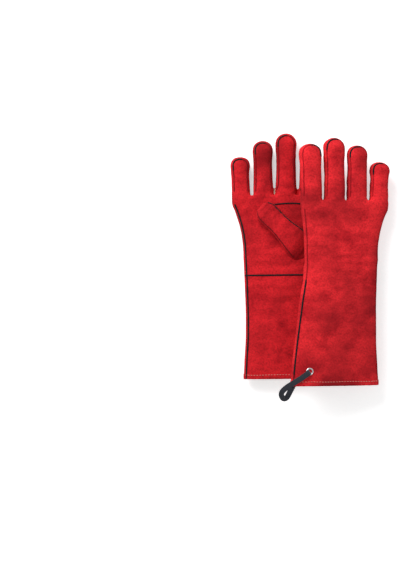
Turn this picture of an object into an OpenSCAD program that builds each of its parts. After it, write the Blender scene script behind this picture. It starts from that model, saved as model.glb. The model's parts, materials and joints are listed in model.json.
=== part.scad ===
// A pair of heat resistant gauntlets, lying flat one on the other.
// Each glove is modelled lying with its back up, fingers towards +Y, with the middle
// of its mouth at the origin and its seams in the plane z = 0, and is then placed.

/* [Cuff and hand] */
// Width of the cuff at its mouth
cuff_w = 127; // [110:1:150]
// Width of the hand at the wrist
wrist_w = 106; // [92:1:116]
// Length from the mouth to the wrist seam
cuff_len = 148; // [115:1:190]
// Length from the wrist seam to the roots of the fingers
hand_len = 112; // [104:1:140]
// Thickness of the glove lying flat
glove_t = 24; // [21:1:30]

/* [Fingers] */
// Width of the index finger
index_w = 29.5; // [24:0.5:33]
// Width of the middle finger
middle_w = 28.8; // [24:0.5:33]
// Width of the ring finger
ring_w = 28.8; // [24:0.5:33]
// Width of the little finger
little_w = 27; // [22:0.5:33]
// Length of the index finger
index_len = 83; // [60:1:110]
// Length of the middle finger
middle_len = 88; // [60:1:110]
// Length of the ring finger
ring_len = 78; // [60:1:110]
// Length of the little finger
little_len = 63; // [50:1:90]
// Gap between two fingers at their roots
crotch_gap = 3.6; // [2.5:0.1:6]

/* [Thumb] */
// Width of the thumb
thumb_w = 28; // [24:0.5:32]
// Length of the thumb
thumb_len = 57; // [46:1:70]
// Thickness of the thumb lying flat
thumb_t = 13; // [12:0.5:15]

/* [Leather, lining and trim] */
// Thickness of the suede
leather_t = 1.6; // [1.2:0.1:2]
// Thickness of the lining
lining_t = 1.5; // [1:0.1:2]
// Width of the piping and welts at a seam
welt_w = 1.6; // [1:0.1:2.4]
// Height that the piping stands out of a seam
welt_proud = 0.8; // [0.4:0.1:1]
// Depth of the hem round the mouth
hem_len = 8; // [5:0.5:14]

/* [Hanging loop] */
// Width of the tape
tape_w = 8; // [6:0.5:9]
// Thickness of the tape
tape_t = 1.4; // [1:0.1:1.8]
// Length of the loop beyond the eyelet
loop_len = 46; // [34:1:60]
// Radius of the eyelet's hole
eyelet_hole_r = 3.1; // [2.6:0.1:4]
// Radius of the eyelet's flange
eyelet_r = 5.5; // [5:0.1:7]

/* [Placing] */
// Tilt of the top glove, its thumb side up
tilt = 15; // [13:0.5:17]
// Lean of the under glove towards its little finger
lean = 0.7; // [0:0.1:1.5]
// Distance between the middles of the two mouths
pair_shift = 65.2; // [60:0.5:80]
// Distance of the top mouth below the under mouth
mouth_drop = 8.5; // [0:0.5:20]

/* [Hidden] */
$fn = 48;
half_t = glove_t / 2;
seam = welt_w / 2;
// Running gap at a knuckle, and gap between the suede and the lining
knuckle_gap = 0.4;
lining_gap = 0.3;
// What cuts a hollow runs this far past the faces that it opens
past = 5;

// The hand lies a little to the little finger's side of the cuff
hand_shift = 8.5;
wrist_left = hand_shift - wrist_w / 2;
wrist_right = hand_shift + wrist_w / 2;
wrist_top_y = cuff_len + 42;
knuckle_left = -48.2;
knuckle_y = cuff_len + hand_len;
// The palm ends this far short of the knuckles, at the welt under the fingers
root_strip = 10;

// Digits: [name, width, length, root x, root y, lean in degrees]
index_x = knuckle_left + index_w / 2;
middle_x = index_x + (index_w + middle_w) / 2 + crotch_gap;
ring_x = middle_x + (middle_w + ring_w) / 2 + crotch_gap;
little_x = ring_x + (ring_w + little_w) / 2 + crotch_gap;
knuckle_right = little_x + little_w / 2;
FINGERS = [
    ["index", index_w, index_len, index_x, knuckle_y - 2, 2],
    ["middle", middle_w, middle_len, middle_x, knuckle_y + 2, 0],
    ["ring", ring_w, ring_len, ring_x, knuckle_y + 2, 0.8],
    ["little", little_w, little_len, little_x, knuckle_y - 6, -0.6]
];
thumb_x = -6;
thumb_y = cuff_len + 56;
thumb_lean = -45;
// The thumb lies clear of the welts that stand out of the palm
thumb_gap = welt_proud + 0.1;
// Height of the thumb's seam: it lies under the palm
thumb_z = -half_t - thumb_gap - thumb_t / 2;
// The hole through the palm at the thumb's root
throat_w = thumb_w / 2;
throat_len = thumb_w / 2;

eyelet_x = -cuff_w / 2 + 23;
eyelet_y = 21;
loop_turn = 236;
flange_t = 0.8;
loop_gap = 0.3;

GLOVES = ["top", "under"];
DIGITS = ["index", "middle", "ring", "little", "thumb"];
DIGIT_PARTS = ["back", "palm", "piping", "lining"];
HAND_PARTS = [
    "back_panel", "palm_panel", "cuff_palm", "lining", "side_piping",
    "wrist_welt", "finger_base_welt", "hem"
];
LOOP_PARTS = ["eyelet", "eyelet_washer", "hanging_loop"];

suede_red = [0.86, 0.13, 0.17];
suede_dark = [0.72, 0.1, 0.14];
piping_black = [0.08, 0.08, 0.09];
lining_cream = [0.85, 0.8, 0.7];
tape_slate = [0.2, 0.22, 0.26];
eyelet_silver = [0.75, 0.76, 0.78];

// The middle of the pair's base is the origin
pair_mid_x = 44.9;
pair_mid_y = 169.95;
// Height of the top glove: it clears the under glove's edge nearest its own middle
stack_gap = 2.9;
top_z = 1.5 * glove_t + (cuff_w / 2 - pair_shift) * tan(tilt) + stack_gap;

// ---- placing ----

module place(glove) {
    if (glove == "under")
        translate([-pair_mid_x + 14.3, mouth_drop - pair_mid_y, half_t])
            rotate([0, 0, lean])
                rotate([0, 180, 0])
                    children();
    else
        translate([-pair_mid_x + 14.3 + pair_shift, -pair_mid_y, top_z])
            rotate([0, tilt, 0])
                children();
}

// A digit's own frame: its root at the origin, its tip towards +Y
module at_digit(d) {
    translate([d[3], d[4], 0])
        rotate([0, 0, d[5]])
            children();
}

// ---- outlines ----

// A point at one end of a digit's root, a running gap short of the digit
function root_end(d, side) = [
    d[3] + side * d[1] / 2 * cos(d[5]),
    d[4] + side * d[1] / 2 * sin(d[5]) - knuckle_gap
];

// Left and right edges of cuff and hand, moved out by grow, from y0 upwards
function left_edge(grow) = [
    [-cuff_w / 2 - grow, 0],
    [wrist_left - grow, cuff_len],
    [wrist_left - grow, wrist_top_y],
    [knuckle_left - grow, FINGERS[0][4] - knuckle_gap - 1]
];
function right_edge(grow) = [
    [knuckle_right + grow, FINGERS[3][4] - knuckle_gap - 1],
    [wrist_right + grow, wrist_top_y],
    [wrist_right + grow, cuff_len],
    [cuff_w / 2 + grow, 0]
];

// The whole outline, with a straight edge under each finger
module glove_outline() {
    polygon(concat(
        left_edge(0),
        [for (d = FINGERS) each [root_end(d, -1), root_end(d, 1)]],
        right_edge(0)
    ));
}

// The hollow inside walls of the given thickness, open at the mouth and the knuckles
module hollow_outline(wall) {
    polygon(concat(
        [[-cuff_w / 2 + wall, -past]],
        left_edge(-wall),
        [[knuckle_left + wall, knuckle_y + past], [knuckle_right - wall, knuckle_y + past]],
        right_edge(-wall),
        [[cuff_w / 2 - wall, -past]]
    ));
}

// A band across the glove from y0 to y1
module band(y0, y1) {
    intersection() {
        glove_outline();
        translate([-cuff_w, y0])
            square([2 * cuff_w, y1 - y0]);
    }
}

// A digit's outline: straight sides from the root and a round tip
module digit_outline(w, len, wall, root = 0) {
    r = w / 2;
    translate([0, len - r])
        circle(r = r - wall);
    translate([-r + wall, root])
        square([w - 2 * wall, len - r - root]);
}

// ---- hand and cuff ----

// One leather shell over an area, from the seam up to the flat face, hollow below
module half_shell(side) {
    z0 = side > 0 ? seam : -half_t;
    difference() {
        translate([0, 0, z0])
            linear_extrude(half_t - seam)
                children();
        translate([0, 0, side > 0 ? z0 - past : z0 + leather_t])
            linear_extrude(half_t - seam - leather_t + past)
                hollow_outline(leather_t);
    }
}

module back_panel() {
    color(suede_red)
        difference() {
            half_shell(1)
                band(hem_len, knuckle_y + past);
            translate([eyelet_x, eyelet_y, 0])
                cylinder(r = eyelet_hole_r + flange_t, h = glove_t);
        }
}

module palm_panel() {
    color(suede_red)
        difference() {
            half_shell(-1)
                band(cuff_len + seam, knuckle_y - root_strip);
            thumb_throat();
        }
}

module cuff_palm() {
    color(suede_dark)
        half_shell(-1)
            band(hem_len, cuff_len - seam);
}

// A strip of piping along each long seam
module side_piping() {
    color(piping_black)
        translate([0, 0, -seam])
            linear_extrude(welt_w) {
                piping_strip(left_edge(welt_proud), left_edge(-leather_t));
                piping_strip(right_edge(welt_proud), right_edge(-leather_t));
            }
}

module piping_strip(outer, inner) {
    intersection() {
        polygon(concat(outer, [for (i = [len(inner) - 1:-1:0]) inner[i]]));
        translate([-cuff_w, hem_len])
            square([2 * cuff_w, knuckle_y]);
    }
}

// A welt across the palm side, standing a little proud
module cross_welt(y0, y1) {
    color(piping_black)
        difference() {
            translate([0, 0, -half_t - welt_proud])
                linear_extrude(half_t - seam + welt_proud)
                    band(y0, y1);
            translate([0, 0, -half_t + leather_t])
                linear_extrude(glove_t)
                    hollow_outline(leather_t);
        }
}

module wrist_welt() {
    cross_welt(cuff_len - seam, cuff_len + seam);
}

// The welt under the fingers runs up to their roots
module finger_base_welt() {
    cross_welt(knuckle_y - root_strip, knuckle_y + past);
}

// The binding round the mouth
module hem() {
    color(suede_dark)
        difference() {
            translate([0, 0, -half_t])
                linear_extrude(glove_t)
                    band(0, hem_len);
            translate([0, 0, -half_t + leather_t + lining_gap])
                linear_extrude(glove_t - 2 * (leather_t + lining_gap))
                    hollow_outline(leather_t + lining_gap);
        }
}

// The hand's lining: a sleeve inside the leather, open at both ends
module hand_lining() {
    out = leather_t + lining_gap;
    inn = out + lining_t;
    color(lining_cream)
        difference() {
            translate([0, 0, -half_t + out])
                linear_extrude(glove_t - 2 * out)
                    intersection() {
                        hollow_outline(out);
                        band(hem_len, knuckle_y - 8);
                    }
            translate([0, 0, -half_t + inn])
                linear_extrude(glove_t - 2 * inn)
                    hollow_outline(inn);
            thumb_throat();
            translate([eyelet_x, eyelet_y, 0])
                cylinder(r = eyelet_r + 1, h = glove_t);
        }
}

// ---- digits ----

// One leather half of a digit: side 1 is the back, -1 the palm, t its thickness
module digit_shell(w, len, t, side) {
    difference() {
        translate([0, 0, side > 0 ? seam : -t / 2])
            linear_extrude(t / 2 - seam)
                digit_outline(w, len, 0);
        translate([0, 0, side > 0 ? 0 : -t / 2 + leather_t])
            linear_extrude(t / 2 - leather_t)
                digit_outline(w, len, leather_t, -past);
    }
}

module digit_piping(w, len) {
    translate([0, 0, -seam])
        linear_extrude(welt_w)
            difference() {
                digit_outline(w, len, -welt_proud);
                digit_outline(w, len, leather_t, -past);
            }
}

module digit_lining(w, len, t) {
    out = leather_t + lining_gap;
    inn = out + lining_t;
    difference() {
        translate([0, 0, -t / 2 + out])
            linear_extrude(t - 2 * out)
                digit_outline(w, len, out);
        translate([0, 0, -t / 2 + inn])
            linear_extrude(t - 2 * inn)
                digit_outline(w, len, inn, -past);
    }
}

module digit_piece(w, len, t, piece) {
    if (piece == "back")
        color(suede_red)
            digit_shell(w, len, t, 1);
    if (piece == "palm")
        color(suede_dark)
            digit_shell(w, len, t, -1);
    if (piece == "piping")
        color(piping_black)
            digit_piping(w, len);
    if (piece == "lining")
        color(lining_cream)
            digit_lining(w, len, t);
}

module finger(d, piece) {
    at_digit(d)
        digit_piece(d[1], d[2], glove_t, piece);
}

// The thumb's own frame, at its seam
module at_thumb() {
    translate([thumb_x, thumb_y, thumb_z])
        rotate([0, 0, thumb_lean])
            children();
}

// The hole that joins the inside of the hand to the inside of the thumb
module thumb_throat() {
    at_thumb()
        translate([-throat_w / 2, throat_len / 2, 0])
            cube([throat_w, throat_len, half_t]);
}

// The thumb lies under the palm, so its back half is the one away from the palm
module thumb(piece) {
    difference() {
        at_thumb()
            mirror([0, 0, 1])
                thumb_piece(piece);
        thumb_throat();
    }
}

module thumb_piece(piece) {
    digit_piece(thumb_w, thumb_len, thumb_t, piece);
}

// ---- eyelet and hanging loop ----

module eyelet_ring(z0, h, r) {
    translate([eyelet_x, eyelet_y, z0])
        difference() {
            cylinder(r = r, h = h);
            translate([0, 0, -1])
                cylinder(r = eyelet_hole_r, h = h + 2);
        }
}

// The eyelet: a flange on the leather and a tube through it
module eyelet() {
    color(eyelet_silver) {
        eyelet_ring(half_t, flange_t, eyelet_r);
        eyelet_ring(half_t - leather_t - flange_t, leather_t + flange_t, eyelet_hole_r + flange_t);
    }
}

module eyelet_washer() {
    color(eyelet_silver)
        translate([eyelet_x, eyelet_y, half_t - leather_t - flange_t])
            difference() {
                cylinder(r = eyelet_r, h = flange_t);
                translate([0, 0, -1])
                    cylinder(r = eyelet_hole_r + flange_t, h = flange_t + 2);
            }
}

// The tape goes out over the hem, folds and comes back inside the mouth
module hanging_loop() {
    top_leg_z = half_t + flange_t + loop_gap;
    low_leg_z = half_t - leather_t - flange_t - loop_gap - tape_t - 1.5;
    loop_h = top_leg_z + tape_t - low_leg_z;
    neck_r = eyelet_hole_r - loop_gap;
    color(tape_slate)
        translate([eyelet_x, eyelet_y, 0])
            rotate([0, 0, loop_turn]) {
                translate([0, 0, low_leg_z])
                    cylinder(r = neck_r, h = loop_h);
                translate([0, -tape_w / 2, low_leg_z])
                    cube([loop_len, tape_w, tape_t]);
                translate([0, -tape_w / 2, top_leg_z])
                    cube([loop_len, tape_w, tape_t]);
                translate([loop_len - tape_t, -tape_w / 2, low_leg_z])
                    cube([tape_t, tape_w, loop_h]);
            }
}

// ---- drawing ----

module hand_piece(part) {
    if (part == "back_panel") back_panel();
    if (part == "palm_panel") palm_panel();
    if (part == "cuff_palm") cuff_palm();
    if (part == "lining") hand_lining();
    if (part == "side_piping") side_piping();
    if (part == "wrist_welt") wrist_welt();
    if (part == "finger_base_welt") finger_base_welt();
    if (part == "hem") hem();
}

for (g = GLOVES, h = HAND_PARTS)
    place(g) hand_piece(h);
for (g = GLOVES, d = FINGERS, p = DIGIT_PARTS)
    place(g) finger(d, p);
for (g = GLOVES, p = DIGIT_PARTS)
    place(g) thumb(p);
place("top") eyelet();
place("top") eyelet_washer();
place("top") hanging_loop();
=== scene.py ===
# %% [markdown]
# # A pair of suede heat gauntlets
# The imported model is the fixed frame. Every visible piece below is a mesh that stands for one or
# more of its plain solids. Most pieces ride on the same body as their solids; the pieces of a finger or
# the thumb that has a body of its own are only placed where it rests, not attached to that body.

# %% Load the frame
import bpy, bmesh, json, math
import numpy as np
from mathutils import Matrix, Vector, noise
from mathutils.bvhtree import BVHTree

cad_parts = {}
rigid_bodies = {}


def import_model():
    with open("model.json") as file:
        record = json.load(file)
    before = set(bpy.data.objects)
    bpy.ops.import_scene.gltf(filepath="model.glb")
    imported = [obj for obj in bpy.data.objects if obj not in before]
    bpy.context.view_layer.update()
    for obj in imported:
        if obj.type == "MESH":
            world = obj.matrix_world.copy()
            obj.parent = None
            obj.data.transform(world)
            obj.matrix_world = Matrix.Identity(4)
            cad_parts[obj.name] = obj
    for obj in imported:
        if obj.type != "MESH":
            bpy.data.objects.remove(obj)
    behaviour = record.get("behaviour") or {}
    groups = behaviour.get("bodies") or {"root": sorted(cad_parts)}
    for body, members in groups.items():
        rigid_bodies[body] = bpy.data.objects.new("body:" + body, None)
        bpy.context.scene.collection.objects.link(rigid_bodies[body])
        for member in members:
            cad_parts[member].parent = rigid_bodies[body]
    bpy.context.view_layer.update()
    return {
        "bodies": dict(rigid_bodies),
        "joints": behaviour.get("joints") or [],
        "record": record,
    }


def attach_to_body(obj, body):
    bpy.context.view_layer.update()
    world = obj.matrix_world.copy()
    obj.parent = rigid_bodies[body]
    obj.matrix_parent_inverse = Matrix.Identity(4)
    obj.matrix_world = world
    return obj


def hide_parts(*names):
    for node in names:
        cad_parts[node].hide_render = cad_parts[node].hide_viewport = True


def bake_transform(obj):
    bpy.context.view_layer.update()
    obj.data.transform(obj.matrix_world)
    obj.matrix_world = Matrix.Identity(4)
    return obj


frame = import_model()
MM = 0.001
joints = {j["name"]: j for j in frame["joints"]}
mounts = {m["name"]: m for m in frame["record"]["mounts"]}

# %% [markdown]
# Each glove is modelled lying with its back up, in millimetres, with the middle of its mouth at the
# origin. One matrix then puts it in its place. The places come from the mounts at the two mouths,
# and the tilt of the top glove from the axis of its hanging loop.

# %% Placing matrices
def placing(mouth, up, lean):
    z = Vector(up).normalized()
    y = Matrix.Rotation(math.radians(lean), 3, "Z") @ Vector((0, 1, 0))
    m = Matrix.Identity(4)
    for k, axis in enumerate((y.cross(z), y, z)):
        m.col[k] = (axis * MM).to_4d()
        m.col[k][3] = 0
    m.translation = Vector(mouth)
    return m


UNDER_LEAN = 0.7
PLACE = {
    "top": placing(mounts["top_mouth"]["pos_m"], joints["loop_swing"]["axis"], 0),
    "under": placing(mounts["under_mouth"]["pos_m"], (0, 0, -1), UNDER_LEAN),
}
print({k: tuple(round(c, 3) for c in m.translation) for k, m in PLACE.items()})

# %% [markdown]
# ## Suede, piping, tape, fleece and metal
# Split suede is matt with a short nap, so it is rough, has no sheen, and its colour is
# mottled at two sizes. The mottling and the grain are noise in the piece's own coordinates, which
# need no unwrapping. Dyed seams are darker, so the piping takes its colour from a point attribute.

# %% Material helpers
def new_material(name, rough, sheen=0.0, metal=0.0):
    m = bpy.data.materials.new(name)
    m.use_nodes = True
    p = m.node_tree.nodes["Principled BSDF"]
    p.inputs["Roughness"].default_value = rough
    p.inputs["Metallic"].default_value = metal
    p.inputs["Sheen Weight"].default_value = sheen
    p.inputs["Sheen Roughness"].default_value = 0.5
    p.inputs["Specular IOR Level"].default_value = 0.15
    return m, m.node_tree, p


def noise_node(tree, scale, detail=3.0):
    n = tree.nodes.new("ShaderNodeTexNoise")
    n.inputs["Scale"].default_value = scale
    n.inputs["Detail"].default_value = detail
    where = tree.nodes.new("ShaderNodeTexCoord")
    tree.links.new(where.outputs["Object"], n.inputs["Vector"])
    return n.outputs["Fac"]


def ramp(tree, fac, stops):
    r = tree.nodes.new("ShaderNodeValToRGB")
    tree.links.new(fac, r.inputs["Fac"])
    for e, (at, colour) in zip(r.color_ramp.elements, (stops[0], stops[-1])):
        e.position = at
        e.color = (*colour, 1)
    for at, colour in stops[1:-1]:
        r.color_ramp.elements.new(at).color = (*colour, 1)
    return r.outputs["Color"]


def blend_colour(tree, fac, a, b, mode="MIX"):
    n = tree.nodes.new("ShaderNodeMix")
    n.data_type = "RGBA"
    n.blend_type = mode
    for value, socket in ((fac, n.inputs[0]), (a, n.inputs[6]), (b, n.inputs[7])):
        if isinstance(value, bpy.types.NodeSocket):
            tree.links.new(value, socket)
        else:
            socket.default_value = value
    return n.outputs[2]


def bump(tree, shader, layers):
    last = None
    for height, strength, depth in layers:
        b = tree.nodes.new("ShaderNodeBump")
        b.inputs["Strength"].default_value = strength
        b.inputs["Distance"].default_value = depth
        tree.links.new(height, b.inputs["Height"])
        if last:
            tree.links.new(last, b.inputs["Normal"])
        last = b.outputs["Normal"]
    tree.links.new(last, shader.inputs["Normal"])


# %% Suede in two dye lots, and the piping of the same leather
def suede(name, bright, mid, deep, piped=False):
    m, tree, p = new_material(name, 0.95)
    colour = ramp(tree, noise_node(tree, 38, 4), [(0.3, mid), (0.52, bright), (0.75, bright)])
    nap = ramp(tree, noise_node(tree, 420, 3), [(0.3, (0.55,) * 3), (0.6, (1.0,) * 3)])
    colour = blend_colour(tree, 0.8, colour, nap, "MULTIPLY")
    worn = ramp(tree, noise_node(tree, 17, 3), [(0.44, (0, 0, 0)), (0.72, (0.7, 0.7, 0.7))])
    colour = blend_colour(tree, worn, colour, (*deep, 1))
    if piped:
        a = tree.nodes.new("ShaderNodeAttribute")
        a.attribute_name = "black"
        colour = blend_colour(tree, a.outputs["Fac"], colour, (0.012, 0.012, 0.014, 1))
    tree.links.new(colour, p.inputs["Base Color"])
    bump(tree, p, [(noise_node(tree, 1100, 2), 0.35, 0.0004), (noise_node(tree, 260, 3), 0.3, 0.0009)])
    return m


BRIGHT, MID, DEEP = (0.84, 0.024, 0.032), (0.5, 0.01, 0.017), (0.2, 0.004, 0.008)
SUEDE = {
    "top": suede("suede_bright", BRIGHT, MID, DEEP),
    "under": suede("suede_worn", (0.66, 0.015, 0.022), (0.42, 0.007, 0.013), (0.17, 0.003, 0.006)),
}
PIPING = {
    "top": suede("piping_bright", MID, DEEP, DEEP, piped=True),
    "under": suede("piping_worn", DEEP, DEEP, DEEP, piped=True),
}


def woven(name, light, dark, threads, rough=0.8, sheen=0.3):
    m, tree, p = new_material(name, rough, sheen)
    w = tree.nodes.new("ShaderNodeTexWave")
    w.inputs["Scale"].default_value = threads
    w.inputs["Distortion"].default_value = 1.5
    where = tree.nodes.new("ShaderNodeTexCoord")
    tree.links.new(where.outputs["Object"], w.inputs["Vector"])
    tree.links.new(ramp(tree, w.outputs["Fac"], [(0.2, dark), (0.8, light)]), p.inputs["Base Color"])
    bump(tree, p, [(w.outputs["Fac"], 0.5, 0.0004), (noise_node(tree, 900), 0.3, 0.0003)])
    return m


TAPE = woven("tape_weave", (0.045, 0.05, 0.065), (0.012, 0.014, 0.02), 260)
FLEECE = woven("cotton_fleece", (0.72, 0.66, 0.53), (0.5, 0.44, 0.34), 120, 1.0, 0.5)
THREAD = woven("hem_thread", (0.82, 0.3, 0.24), (0.6, 0.14, 0.13), 700, 0.7, 0.2)
METAL, metal_tree, metal_shader = new_material("pressed_metal", 0.3, metal=1.0)
metal_tree.links.new(
    ramp(metal_tree, noise_node(metal_tree, 300), [(0.3, (0.5, 0.51, 0.53)), (0.7, (0.8, 0.81, 0.82))]),
    metal_shader.inputs["Base Color"])
print("materials:", len(bpy.data.materials))

# %% [markdown]
# ## The soft form of one glove
# A lined glove lying flat is a soft flattened tube that divides into five. The hand with its cuff
# and each finger are lofted as flat ovals that run into each other. A voxel remesh then joins them
# into one skin, and smoothing rounds the forks between the fingers, as the seams do.

# %% Mesh helpers
def mesh_object(name, points, faces):
    me = bpy.data.meshes.new(name)
    me.from_pydata([tuple(p) for p in points], [], faces)
    o = bpy.data.objects.new(name, me)
    bpy.context.scene.collection.objects.link(o)
    return o


def loft(rings, close=True):
    n = len(rings[0])
    faces = [(i * n + k, i * n + (k + 1) % n, (i + 1) * n + (k + 1) % n, (i + 1) * n + k)
             for i in range(len(rings) - 1) for k in range(n)]
    if close:
        faces += [tuple(range(n))[::-1], tuple(range((len(rings) - 1) * n, len(rings) * n))]
    return [p for r in rings for p in r], faces


def oval(mid, across, up, half_w, half_h, power=2.5, n=48):
    out = []
    for k in range(n):
        a = 2 * math.pi * k / n
        c, s = math.cos(a), math.sin(a)
        u = half_w * math.copysign(abs(c) ** (2 / power), c)
        v = half_h * math.copysign(abs(s) ** (2 / power), s)
        out.append(mid + across * u + up * v)
    return out


def finished(o):
    """The object's mesh with its modifiers applied."""
    graph = bpy.context.evaluated_depsgraph_get()
    me = bpy.data.meshes.new_from_object(o.evaluated_get(graph))
    old = o.data
    o.modifiers.clear()
    o.data = me
    bpy.data.meshes.remove(old)
    return o


# %% Sizes of the soft form, in millimetres
HAND_STATIONS = [  # y, left edge, right edge, half thickness
    (0, -64, 63, 10.5), (30, -61.5, 61.5, 11), (64, -57.5, 59.2, 11.4), (121, -50, 59.5, 11.6),
    (163, -44, 61, 11.6), (192, -44, 62, 11.8), (215, -44.8, 65.2, 11.6), (235, -46.5, 71, 11.3),
    (248, -48, 75.2, 11), (261, -48.5, 76.5, 9.6),
]
FINGERS = {  # root x, root y, length, lean in degrees, half width
    "index": (-33.8, 258, 83, 1.6, 15.8), "middle": (-0.8, 262, 88, 0.4, 15.4),
    "ring": (31.8, 262, 78, -0.1, 14.8), "little": (63.4, 254, 63, -1.2, 14.0),
}
# The top glove lies tilted, so it is a little wider than it looks from above. The index finger
# of the under glove is folded a little shorter, beneath the top glove's.
WIDEN = {"top": 1.03, "under": 1.0}
SHORTER = {("under", "index"): 11}
FINGER_PROFILE = [  # share of length, share of width, half height
    (-0.14, 0.86, 8), (0, 0.96, 10.2), (0.3, 0.93, 10.2), (0.6, 0.91, 10.4), (0.76, 0.97, 11.2),
    (0.83, 0.98, 11.4),
    (0.9, 0.9, 10.4), (0.95, 0.71, 8.2), (0.98, 0.47, 5.6), (0.995, 0.24, 3.0), (1.0, 0.06, 0.8),
]
THUMB = {"root": (-10, 199), "length": 65, "lean": -45, "half_w": 14.2, "half_t": 6.9, "z": -19.4}
CUT_Y = 267  # the cut across the roots of the fingers
CUFF_LEN = 148
HEM_LEN = 8
MOUTH_TRIM = 0.6  # cut off the end of the form, which opens the mouth
print("fingers:", ", ".join(FINGERS), "- cuff:", CUFF_LEN, "mm")


def smooth_stations(stations, steps):
    """Points on smooth curves through the stations."""
    s = np.array(stations, float)
    t = np.linspace(0, len(s) - 1, steps)
    i = np.clip(t.astype(int), 0, len(s) - 2)
    f = (t - i)[:, None]
    before, after = s[np.maximum(i - 1, 0)], s[np.minimum(i + 2, len(s) - 1)]
    a, b = s[i], s[i + 1]
    m0, m1 = (b - before) / 2, (after - a) / 2
    return ((2 * f**3 - 3 * f**2 + 1) * a + (f**3 - 2 * f**2 + f) * m0
            + (3 * f**2 - 2 * f**3) * b + (f**3 - f**2) * m1)


X, Y, Z = Vector((1, 0, 0)), Vector((0, 1, 0)), Vector((0, 0, 1))


def hand_form():
    rings = [oval(Vector(((l + r) / 2, y, 0)), X, Z, (r - l) / 2, h, 3.0, 96)
             for y, l, r, h in smooth_stations(HAND_STATIONS, 60)]
    return loft(rings)


def finger_form(which, name):
    x, y, length, lean, half_w = FINGERS[name]
    length -= SHORTER.get((which, name), 0)
    turn = Matrix.Rotation(math.radians(lean), 3, "Z")
    rings = [oval(Vector((x, y, 0)) + turn @ Y * (length * at), turn @ X, Z, half_w * wide, h, 2.5)
             for at, wide, h in smooth_stations(FINGER_PROFILE, 40)]
    return loft(rings)


VOXEL = 1.5


def glove_skin(which):
    forms = [hand_form()] + [finger_form(which, f) for f in FINGERS]
    points, faces = [], []
    for p, f in forms:
        faces += [tuple(i + len(points) for i in face) for face in f]
        points += [Vector((v.x * WIDEN[which], v.y, v.z)) for v in p]
    o = mesh_object(which + "_skin", points, faces)
    r = o.modifiers.new("remesh", "REMESH")
    r.mode = "VOXEL"
    r.voxel_size = VOXEL
    s = o.modifiers.new("smooth", "SMOOTH")
    s.factor = 0.5
    s.iterations = 8
    return finished(o)


# %% [markdown]
# ## Wrinkles
# Suede that has been worn keeps long soft folds. They run across the glove at the wrist and across
# each finger, and wander on the cuff. Each vertex moves along its normal by smooth noise that is
# stretched along the folds. The seam line itself stays where it is.

# %% Wrinkles by vertex moves
WRIST_Y, WRIST_SPAN = 165, 38


def wrinkle(o, seed):
    n = len(o.data.vertices)
    co, no = np.empty(n * 3), np.empty(n * 3)
    o.data.vertices.foreach_get("co", co)
    o.data.vertices.foreach_get("normal", no)
    co, no = co.reshape(-1, 3), no.reshape(-1, 3)
    shift = Vector((seed * 17.3, seed * 5.1, seed * 2.7))
    move = np.empty(n)
    for i, (x, y, z) in enumerate(co):
        broad = noise.noise(Vector((x / 42, y / 30, z / 30)) + shift)
        folds = noise.noise(Vector((x / 34 + y / 90, y / 9, z / 12)) + shift)
        fine = noise.noise(Vector((x / 9, y / 5, z / 7)) + shift)
        at_wrist = math.exp(-((y - WRIST_Y) / WRIST_SPAN) ** 2)
        on_finger = 1.0 if y > CUT_Y - 6 else 0.0
        move[i] = 1.5 * broad + folds * (0.5 + 1.2 * at_wrist + 0.6 * on_finger) + 0.3 * fine
    keep = np.clip(np.abs(co[:, 2]) / 5, 0.1, 1) * np.clip(co[:, 1] / 14, 0.15, 1)
    co += no * (move * keep)[:, None]
    o.data.vertices.foreach_set("co", co.ravel())
    o.data.update()


# %% [markdown]
# ## Cutting the skin into its pieces
# The real glove is cut from flat suede and sewn at its edges. Here the skin is cut the other way:
# planes slice it at the seams, every face goes to its piece, and each piece gets its thickness
# inwards. The edges then match exactly.

# %% Cut and hand out the faces
def sliced(o):
    bm = bmesh.new()
    bm.from_mesh(o.data)
    planes = [((0, 0, 0), Z)] + [((0, y, 0), Y) for y in (CUT_Y, HEM_LEN, CUFF_LEN, MOUTH_TRIM)]
    for at, normal in planes:
        everything = bm.verts[:] + bm.edges[:] + bm.faces[:]
        bmesh.ops.bisect_plane(bm, geom=everything, plane_co=at, plane_no=normal, dist=1e-4)
    drop = [f for f in bm.faces if f.calc_center_median().y < MOUTH_TRIM]
    bmesh.ops.delete(bm, geom=drop, context="FACES")
    bm.normal_update()
    return bm


def finger_at(x, which):
    """The finger at x, with each border in the middle of the gap between two fingers."""
    names = list(FINGERS)
    for a, b in zip(names, names[1:]):
        edges = FINGERS[a][0] + FINGERS[a][4], FINGERS[b][0] - FINGERS[b][4]
        if x / WIDEN[which] < sum(edges) / 2:
            return a
    return names[-1]


def piece_of(c, which):
    """The piece that a point on the skin belongs to."""
    if c.y > CUT_Y:
        return finger_at(c.x, which) + ("_back" if c.z > 0 else "_palm")
    if c.y < HEM_LEN:
        return "hem"
    if c.z > 0:
        return "back_panel"
    return "palm_panel" if c.y > CUFF_LEN else "cuff_palm"


def cut_pieces(bm, which, inset=0.0):
    """{piece: (points, faces)}, moved inwards by inset along the normals."""
    out = {}
    for f in bm.faces:
        points, faces, known = out.setdefault(piece_of(f.calc_center_median(), which), ([], [], {}))
        face = []
        for v in f.verts:
            if v.index not in known:
                known[v.index] = len(points)
                points.append(v.co - v.normal * inset)
            face.append(known[v.index])
        faces.append(tuple(face))
    return {k: (p, f) for k, (p, f, _) in out.items()}


def seam_line(bm):
    """The points of the side seam, from the mouth on the thumb's side round the fingers and back."""
    ring = {v: [e.other_vert(v) for e in v.link_edges if abs(e.other_vert(v).co.z) < 1e-3]
            for v in bm.verts if abs(v.co.z) < 1e-3}
    at = min((v for v in ring if v.co.x < 0), key=lambda v: v.co.y)
    line, seen = [at.co.copy()], {at}
    while True:
        ahead = [v for v in ring[at] if v not in seen]
        if not ahead:
            return line
        at = min(ahead, key=lambda v: (v.co - line[-1]).length)
        seen.add(at)
        line.append(at.co.copy())
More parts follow.
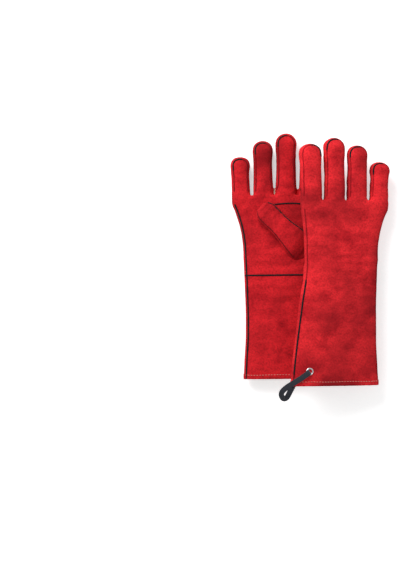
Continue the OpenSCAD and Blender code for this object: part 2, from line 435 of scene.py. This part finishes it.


# %% [markdown]
# ## Leather pieces, piping and how they move
# Each piece is placed by its glove's matrix. A piece of a finger or thumb that has a body of its own
# is left where it is placed and not attached to that body. Any other piece, such as a finger held
# under the other glove, rides on its glove's body.

# %% Placing and attaching
ON_FLOOR = 0.0001  # what would sag below the floor lies flat on it


def placed(name, data, which, material, thick=0.0):
    o = mesh_object(name, *data)
    if which:
        o.data.transform(PLACE[which])
    if thick:
        s = o.modifiers.new("thickness", "SOLIDIFY")
        s.thickness = thick * MM
        s.offset = -1
        finished(o)
    for v in o.data.vertices:
        v.co.z = max(v.co.z, ON_FLOOR)
    o.data.polygons.foreach_set("use_smooth", [True] * len(o.data.polygons))
    o.data.set_sharp_from_angle(angle=math.radians(55))
    o.data.materials.append(material)
    return o


def attach(o, which, digit=None):
    glove, own = which + "_glove", f"{which}_{digit}"
    if digit is None or own not in frame["bodies"]:
        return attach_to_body(o, glove)
    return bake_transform(o)


def tube(line, radius, sides=10):
    """A tube along a line, its two ends closed. The radius is one number, or one for each point."""
    rings = []
    radii = radius if isinstance(radius, list) else [radius] * len(line)
    for i, p in enumerate(line):
        along = (line[min(i + 1, len(line) - 1)] - line[max(i - 1, 0)]).normalized()
        side = along.cross(Z).normalized() if abs(along.z) < 0.95 else along.cross(X).normalized()
        up = side.cross(along)
        rings.append([p + (side * math.cos(a) + up * math.sin(a)) * radii[i]
                      for a in (2 * math.pi * k / sides for k in range(sides))])
    return loft(rings)


def evened(line, step):
    """The same line with evenly spaced points, its small jags smoothed."""
    p = np.array([tuple(v) for v in line])
    for _ in range(6):
        p[1:-1] = (p[:-2] + 2 * p[1:-1] + p[2:]) / 4
    d = np.concatenate([[0], np.cumsum(np.linalg.norm(np.diff(p, axis=0), axis=1))])
    t = np.linspace(0, d[-1], max(3, int(d[-1] / step)))
    return [Vector([np.interp(v, d, p[:, k]) for k in range(3)]) for v in t]


def paint_black(o, amount, sides=10):
    a = o.data.attributes.new("black", "FLOAT", "POINT")
    a.data.foreach_set("value", [v for v in amount for _ in range(sides)])


# %% Build one glove's leather, lining and piping
def on_skin(tree, x, y, side, proud):
    """The skin's point at x and y on one side, a little proud of it."""
    hit = tree.ray_cast(Vector((x, y, 60 * side)), Vector((0, 0, -side)))[0]
    return hit + Vector((0, 0, side * proud)) if hit else None


PIPING_R = 0.85
PIPING_STEP = 1.6
TIP_BLACK = 17
SIDE_SEAM_END = CUT_Y - 18
CUFF_BLACK = (16, 150)  # where the top glove's left seam is black
VISIBLE = {"top": 1, "under": -1}
SEAM_IN = {"top": 2.2, "under": 3.4}
# The black of the piping shows on one side of each fingertip
BLACK_SIDE = {
    "top": {"index": 1, "middle": -1, "ring": -1, "little": -1},
    "under": {"index": 1, "middle": 1, "ring": 1, "little": 1},
}
LEATHER_T = 1.4
HEM_PROUD = 0.7
LINING_IN = 2.1


def leather_and_lining(which, bm):
    pieces = cut_pieces(bm, which)
    pieces["hem"] = cut_pieces(bm, which, -HEM_PROUD)["hem"]
    for piece, data in pieces.items():
        o = placed(f"{which}_{piece}_suede", data, which, SUEDE[which], LEATHER_T)
        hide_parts(f"{which}_{piece}")
        digit = piece.split("_")[0]
        attach(o, which, digit if digit in FINGERS else None)
    inner = {}
    for piece, (points, faces) in cut_pieces(bm, which, LINING_IN).items():
        digit = piece.split("_")[0]
        key = digit + "_lining" if digit in FINGERS else "lining"
        all_points, all_faces = inner.setdefault(key, ([], []))
        all_faces += [tuple(i + len(all_points) for i in f) for f in faces]
        all_points += points
    for key, data in inner.items():
        o = placed(f"{which}_{key}_fleece", data, which, FLEECE, 1.0)
        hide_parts(f"{which}_{key}")
        digit = key.split("_")[0]
        attach(o, which, digit if digit in FINGERS else None)


def shoulder(which, tree, p, inward):
    """The point of the visible face nearest a seam point, moved inward from the edge."""
    x, y, _ = p + inward
    hit = on_skin(tree, x, y, VISIBLE[which], 0.15)
    return hit or p


def seam_piping(which, tree, line):
    runs = {}
    for p in line:
        key = finger_at(p.x, which) if p.y > CUT_Y else None
        if p.y < SIDE_SEAM_END:
            key = "left" if p.x < 0 else "right"
        if key:
            runs.setdefault(key, []).append(p)
    for key, run in runs.items():
        even = evened(run, PIPING_STEP)
        points = []
        for i, p in enumerate(even):
            along = even[min(i + 1, len(even) - 1)] - even[max(i - 1, 0)]
            points.append(shoulder(which, tree, p, along.cross(Z).normalized() * SEAM_IN[which]))
        points = evened(points, PIPING_STEP)
        if key in FINGERS:
            tip = max(p.y for p in points)
            mid = (max(p.x for p in points) + min(p.x for p in points)) / 2
            black = []
            for p in points:
                dyed = 1 if (p.x - mid) * BLACK_SIDE[which][key] > -3 else 0.1
                black.append(min(1, max(0, (p.y - (tip - TIP_BLACK)) / 2)) * dyed)
        else:
            low, high = CUFF_BLACK
            black = [1.0 if (key == "left" and low < p.y < high or which == "under") else 0.15
                     for p in points]
        data = tube(points, [PIPING_R * (1 + 0.45 * b) for b in black])
        o = placed(f"{which}_{key}_piping_cord", data, which, PIPING[which])
        paint_black(o, black)
        if key in FINGERS:
            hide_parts(f"{which}_{key}_piping")
            attach(o, which, key)
        else:
            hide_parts(f"{which}_side_piping")
            attach(o, which)


# %% [markdown]
# ## Welts and stitches
# The palm of the hand meets the palm of the cuff in a black welt, and the fingers start at another.
# Both lie on the suede, so their lines are dropped onto the skin. The hem has one row of short
# salmon stitches, which are small separate threads.

# %% Welts and hem stitches
def welt(which, tree, name, route, radius):
    line = [on_skin(tree, x, y, -1, 0.1) for x, y in route]
    line = evened([p for p in line if p], 2)
    o = placed(f"{which}_{name}_cord", tube(line, radius), which, PIPING[which])
    paint_black(o, [1.0] * len(line))
    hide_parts(f"{which}_{name}")
    attach(o, which)


STITCH_LEN, STITCH_GAP, STITCH_Y, STITCH_R = 2.6, 1.5, 6.2, 0.42
STITCH_ROW = 60.0  # half the length of the row


def hem_stitches(which, tree):
    points, faces = [], []
    for side in (1, -1):
        x = -STITCH_ROW
        while x < STITCH_ROW:
            ends = [on_skin(tree, x + u, STITCH_Y + 0.25 * math.sin(x / 9), side, 0.12 + HEM_PROUD)
                    for u in (0, STITCH_LEN / 2, STITCH_LEN)]
            if all(ends):
                p, f = tube(ends, STITCH_R, 6)
                faces += [tuple(i + len(points) for i in face) for face in f]
                points += p
            x += STITCH_LEN + STITCH_GAP
    attach(placed(which + "_hem_stitches", (points, faces), which, THREAD), which)


# %% [markdown]
# ## The thumb
# The thumb is a flattened tube of its own, sewn into the palm and folded across it. Its root sinks
# towards the palm, its tip is round, and its seam runs along both edges, with thin piping.

# %% Thumb
THUMB_PROFILE = [  # share of length, share of width, share of thickness, sink into the palm
    (-0.42, 1.3, 0.8, 14), (-0.25, 1.42, 0.95, 8.5), (-0.05, 1.34, 1.0, 3), (0.2, 1.14, 1.0, 0.8),
    (0.45, 1.02, 1.0, 0), (0.7, 1.04, 1.0, 0), (0.85, 1.02, 1.0, 0), (0.94, 0.82, 0.86, 0),
    (0.985, 0.48, 0.6, 0), (1.0, 0.02, 0.02, 0),
]
THUMB_SIDES, THUMB_RINGS = 40, 64
THUMB_LEATHER_T = 1.2
THUMB_PIPING_R = 1.05
THUMB_LINING_IN = 0.22  # share of the way from the skin to the middle
THUMB_BLACK_FROM = 0.53  # share of the piping's length


def thumb_pieces(which, seed):
    turn = Matrix.Rotation(math.radians(THUMB["lean"]), 3, "Z")
    root = Vector((*THUMB["root"], THUMB["z"]))
    rings, n = [], THUMB_SIDES
    for at, wide, thick, sink in smooth_stations(THUMB_PROFILE, THUMB_RINGS):
        mid = root + turn @ Y * (THUMB["length"] * at) + Z * sink
        ring = oval(mid, turn @ X, Z, THUMB["half_w"] * wide, THUMB["half_t"] * thick, 2.5, n)
        for k, p in enumerate(ring):
            out = (p - mid).normalized()
            broad = noise.noise(Vector((at * 14, k / 9, seed)))
            fold = broad + 0.6 * noise.noise(Vector((at * 31, k / 5, seed)))
            ring[k] = p + out * (fold * 0.8 * min(1, abs(math.sin(2 * math.pi * k / n)) * 2))
        rings.append(ring)
    half = n // 2
    for piece, first in (("palm", 0), ("back", half)):
        strip = [[r[(first + k) % n] for k in range(half + 1)] for r in rings]
        w = half + 1
        faces = [(i * w + k, i * w + k + 1, (i + 1) * w + k + 1, (i + 1) * w + k)
                 for i in range(len(rings) - 1) for k in range(half)]
        data = ([p for r in strip for p in r], faces)
        o = placed(f"{which}_thumb_{piece}_suede", data, which, SUEDE[which], THUMB_LEATHER_T)
        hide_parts(f"{which}_thumb_{piece}")
        attach(o, which, "thumb")
    edge = [r[n - 3] for r in rings[6:]] + [r[half + 3] for r in reversed(rings[6:])]
    line = [p - Z * 0.9 for p in evened(edge, PIPING_STEP)]
    o = placed(f"{which}_thumb_piping_cord", tube(line, THUMB_PIPING_R), which, PIPING[which])
    paint_black(o, [1.0 if i > len(line) * THUMB_BLACK_FROM else 0.1 for i in range(len(line))])
    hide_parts(f"{which}_thumb_piping")
    attach(o, which, "thumb")
    inner = [[p + (c - p) * THUMB_LINING_IN for p in r] for r in rings for c in [sum(r, Vector()) / n]]
    o = placed(f"{which}_thumb_lining_fleece", loft(inner), which, FLEECE)
    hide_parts(f"{which}_thumb_lining")
    attach(o, which, "thumb")


# %% Make both gloves
WRIST_WELT = [(x, CUFF_LEN) for x in range(-49, 62, 2)]
FINGER_BASE_WELT = [(x, 249 + 0.8 * math.sin(k / 5)) for k, x in enumerate(range(-22, 21, 2))]


def make_glove(which, seed):
    skin = glove_skin(which)
    wrinkle(skin, seed)
    bm = sliced(skin)
    bm.verts.index_update()
    tree = BVHTree.FromBMesh(bm)
    leather_and_lining(which, bm)
    seam_piping(which, tree, seam_line(bm))
    welt(which, tree, "wrist_welt", WRIST_WELT, 1.15)
    welt(which, tree, "finger_base_welt", FINGER_BASE_WELT, 1.0)
    hem_stitches(which, tree)
    thumb_pieces(which, seed)
    print(which, "skin:", len(bm.verts), "points")
    bm.free()
    bpy.data.objects.remove(skin)
    return tree


skins = {"under": make_glove("under", 3), "top": make_glove("top", 8)}

# %% [markdown]
# ## Eyelet, washer and hanging loop
# The eyelet is a pressed ring with a rounded lip. The loop is a flat woven tape that leaves the
# eyelet, goes out over the hem, folds, and comes back into the mouth. It is a ribbon along a
# smooth curve, with a little thickness.

# %% Eyelet and washer
EYELET = (-40.5, 21)


def lathe(profile, mid, n=40):
    angles = [2 * math.pi * k / n for k in range(n)]
    rings = [[mid + Vector((r * math.cos(a), r * math.sin(a), z)) for a in angles]
             for r, z in profile + profile[:1]]
    return loft(rings, close=False)


seat = on_skin(skins["top"], *EYELET, 1, 0)
if seat is None:
    seat = Vector((*EYELET, 11))
lip = [(3.2, -2.2), (3.2, 0.6), (3.6, 1.1), (4.6, 1.15), (5.3, 0.7), (5.5, 0.1), (3.9, 0.1), (3.9, -2.2)]
rim = [(4.0, -2.3), (5.4, -2.3), (5.5, -1.8), (4.0, -1.6)]
eyelet = placed("eyelet_ring", lathe(lip, seat), "top", METAL)
washer = placed("eyelet_washer_ring", lathe(rim, seat), "top", METAL)
for piece, node in ((eyelet, "eyelet"), (washer, "eyelet_washer")):
    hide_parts(node)
    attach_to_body(piece, "top_glove")
print("eyelet and washer:", len(eyelet.data.vertices), len(washer.data.vertices), "points")

# %% Hanging loop
LOOP_ROUTE = [  # from the hole over the hem, round the fold and back into the mouth
    (0, 0, -4), (-0.6, -0.4, 0.5), (-4, -3, 2.4), (-12, -8.5, 2.2), (-22, -14.5, 1.4), (-32, -20.5, 0.2),
    (-39, -26.5, -1.5), (-40.5, -32, -4), (-36.5, -37.5, -7), (-30.5, -36, -9.5),
    (-25, -27, -10.5), (-19, -16, -9), (-11, -7, -7.5), (-3, -1.5, -6.5),
]
TAPE_W, TAPE_T = 7.6, 1.2


def ribbon(route):
    line = [seat + Vector(p) for p in smooth_stations(route, 90)]
    rings = []
    for i, p in enumerate(line):
        along = (line[min(i + 1, len(line) - 1)] - line[max(i - 1, 0)]).normalized()
        across = Z.cross(along).normalized() if abs(along.z) < 0.98 else Vector((0.8, -0.6, 0))
        up = along.cross(across)
        wide = TAPE_W / 2 * min(1.05, 0.55 + min(i, len(line) - 1 - i) / 22)
        rings.append(oval(p, across, up, wide, TAPE_T / 2, 6, 16))
    return loft(rings)


loop = placed("hanging_loop_tape", ribbon(LOOP_ROUTE), "top", TAPE)
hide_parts("hanging_loop")
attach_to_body(loop, "loop")
print("loop:", len(loop.data.vertices), "points")

# %% [markdown]
# ## Floor, light and camera
# The floor is a plain pale sheet, and the camera looks straight down at the pair from a little
# over two metres. A large soft lamp at the upper left models the folds, and the world fills in.

# %% Floor
FLOOR_SIZE, FLOOR_BELOW = 6, 0.0005
bpy.ops.mesh.primitive_plane_add(size=FLOOR_SIZE, location=(0, 0, -FLOOR_BELOW))
floor = bpy.context.object
floor.name = "floor"
paper, paper_tree, paper_shader = new_material("paper", 0.9)
paper_shader.inputs["Base Color"].default_value = (0.9, 0.9, 0.9, 1)
paper_shader.inputs["Emission Color"].default_value = (1, 1, 1, 1)
path = paper_tree.nodes.new("ShaderNodeLightPath")
lift = paper_tree.nodes.new("ShaderNodeMath")
lift.operation = "MULTIPLY"
lift.inputs[1].default_value = 0.5
paper_tree.links.new(path.outputs["Is Camera Ray"], lift.inputs[0])
paper_tree.links.new(lift.outputs[0], paper_shader.inputs["Emission Strength"])
floor.data.materials.append(paper)
print("floor:", FLOOR_SIZE, "m square")


# %% Lights
def area_lamp(name, place, size, power):
    data = bpy.data.lights.new(name, "AREA")
    data.size = size
    data.energy = power
    o = bpy.data.objects.new(name, data)
    o.location = place
    o.rotation_euler = (Vector((0, 0, 0)) - Vector(place)).to_track_quat("-Z", "Y").to_euler()
    bpy.context.scene.collection.objects.link(o)


area_lamp("key", (-0.7, 1.0, 0.9), 0.9, 23)
area_lamp("fill", (1.2, -0.8, 1.6), 1.5, 5)
world = bpy.data.worlds.new("studio")
bpy.context.scene.world = world
world.use_nodes = True
world.node_tree.nodes["Background"].inputs["Color"].default_value = (1, 1, 1, 1)
world.node_tree.nodes["Background"].inputs["Strength"].default_value = 0.42
bpy.context.scene.view_settings.view_transform = "Standard"
print("lamps:", len(bpy.data.lights))

# %% Camera
camera_data = bpy.data.cameras.new("camera")
camera_data.lens = 100
camera_data.sensor_width = 36
camera = bpy.data.objects.new("camera", camera_data)
camera.location = (-0.1445, -0.0405, 2.343)
bpy.context.scene.collection.objects.link(camera)
bpy.context.scene.camera = camera
print("camera:", camera_data.lens, "mm, at", tuple(camera.location))
